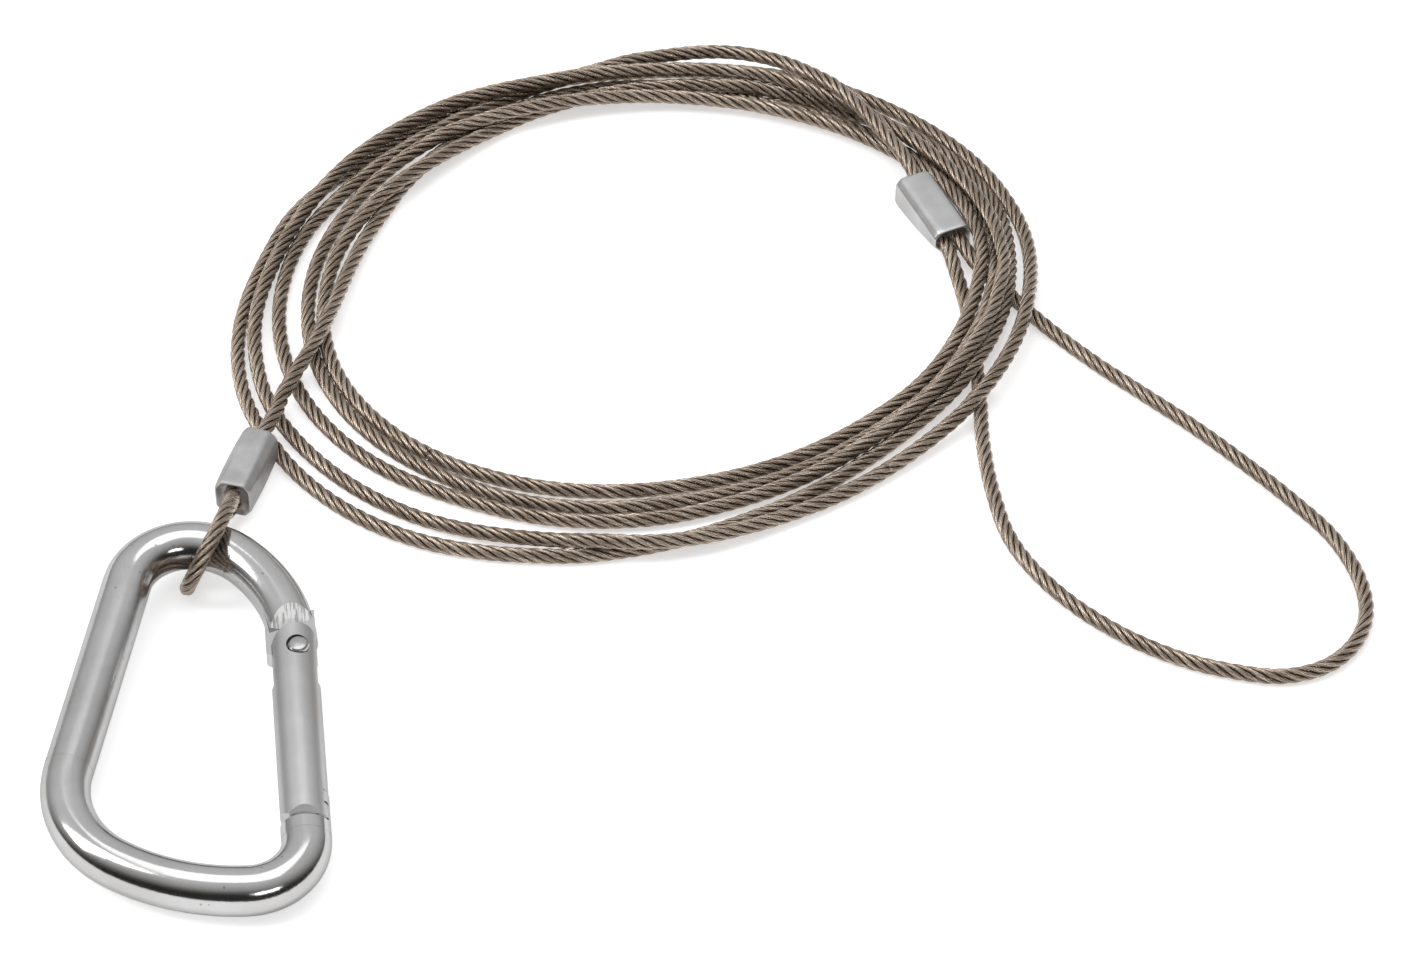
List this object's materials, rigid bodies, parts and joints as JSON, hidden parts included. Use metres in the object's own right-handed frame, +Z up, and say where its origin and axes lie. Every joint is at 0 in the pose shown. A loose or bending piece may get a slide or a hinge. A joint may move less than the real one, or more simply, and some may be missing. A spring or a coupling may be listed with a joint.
{
  "type": "wire rope safety lanyard",
  "caption": "Coiled steel wire-rope lanyard with a D-shaped snap carabiner swaged into a small eye at one end and a large soft eye at the other.",
  "frame": {"origin": "centre of the carabiner's footprint, on the surface the lanyard lies on", "axes": "+X across the carabiner from spine to gate, +Y along the carabiner towards its rope eye, +Z up"},
  "size_m": [0.2173, 0.1993, 0.0143],
  "materials": {
    "bar_aluminium": "polished bare aluminium, brushed along the legs",
    "gate_aluminium": "satin, slightly grainy",
    "rivet_steel": "bright domed heads",
    "plunger_brass": "dull, hidden between the gate's cheeks",
    "spring_steel": "drawn wire",
    "ferrule_matte": "pressed, matte and grainy",
    "ferrule_bright": "pressed, bright with curved press ridges",
    "wire_rope": "stranded bare steel wire, slightly warm grey"
  },
  "bodies": {
    "rope": {"rope_small_eye": "wire_rope", "rope_lead": "wire_rope", "rope_coil": "wire_rope", "rope_tail": "wire_rope", "rope_large_eye": "wire_rope", "ferrule_carabiner_end": "ferrule_matte", "ferrule_eye_end": "ferrule_bright"},
    "carabiner": {"carabiner_body": "bar_aluminium"},
    "gate": {"gate": "gate_aluminium", "gate_rivet": "rivet_steel", "gate_spring": "spring_steel"},
    "plunger": {"gate_plunger": "plunger_brass"}
  },
  "joints": [
    {"name": "carabiner_swing", "type": "hinge", "parent": "rope", "child": "carabiner", "pos_m": [0.00581, 0.03573, 0.00708], "axis": [-0.9455, 0.3252, 0.0139], "range_deg": [0, 120]},
    {"name": "gate_pivot", "type": "hinge", "parent": "carabiner", "child": "gate", "pos_m": [0.01938, 0.00999, 0.00598], "axis": [0, 0.0427, -0.9991], "range_deg": [0, 30], "stiffness_Nm_per_rad": 0.15, "springref_deg": -28.65},
    {"name": "plunger_slide", "type": "slide", "parent": "gate", "child": "plunger", "axis": [0, -0.9991, -0.0427], "range_m": [0, 0.0026], "deforming": ["gate_spring"]}
  ],
  "couplings": [
    {"joint": "plunger_slide", "follows": "gate_pivot", "m_per_rad": 0.00485}
  ]
}
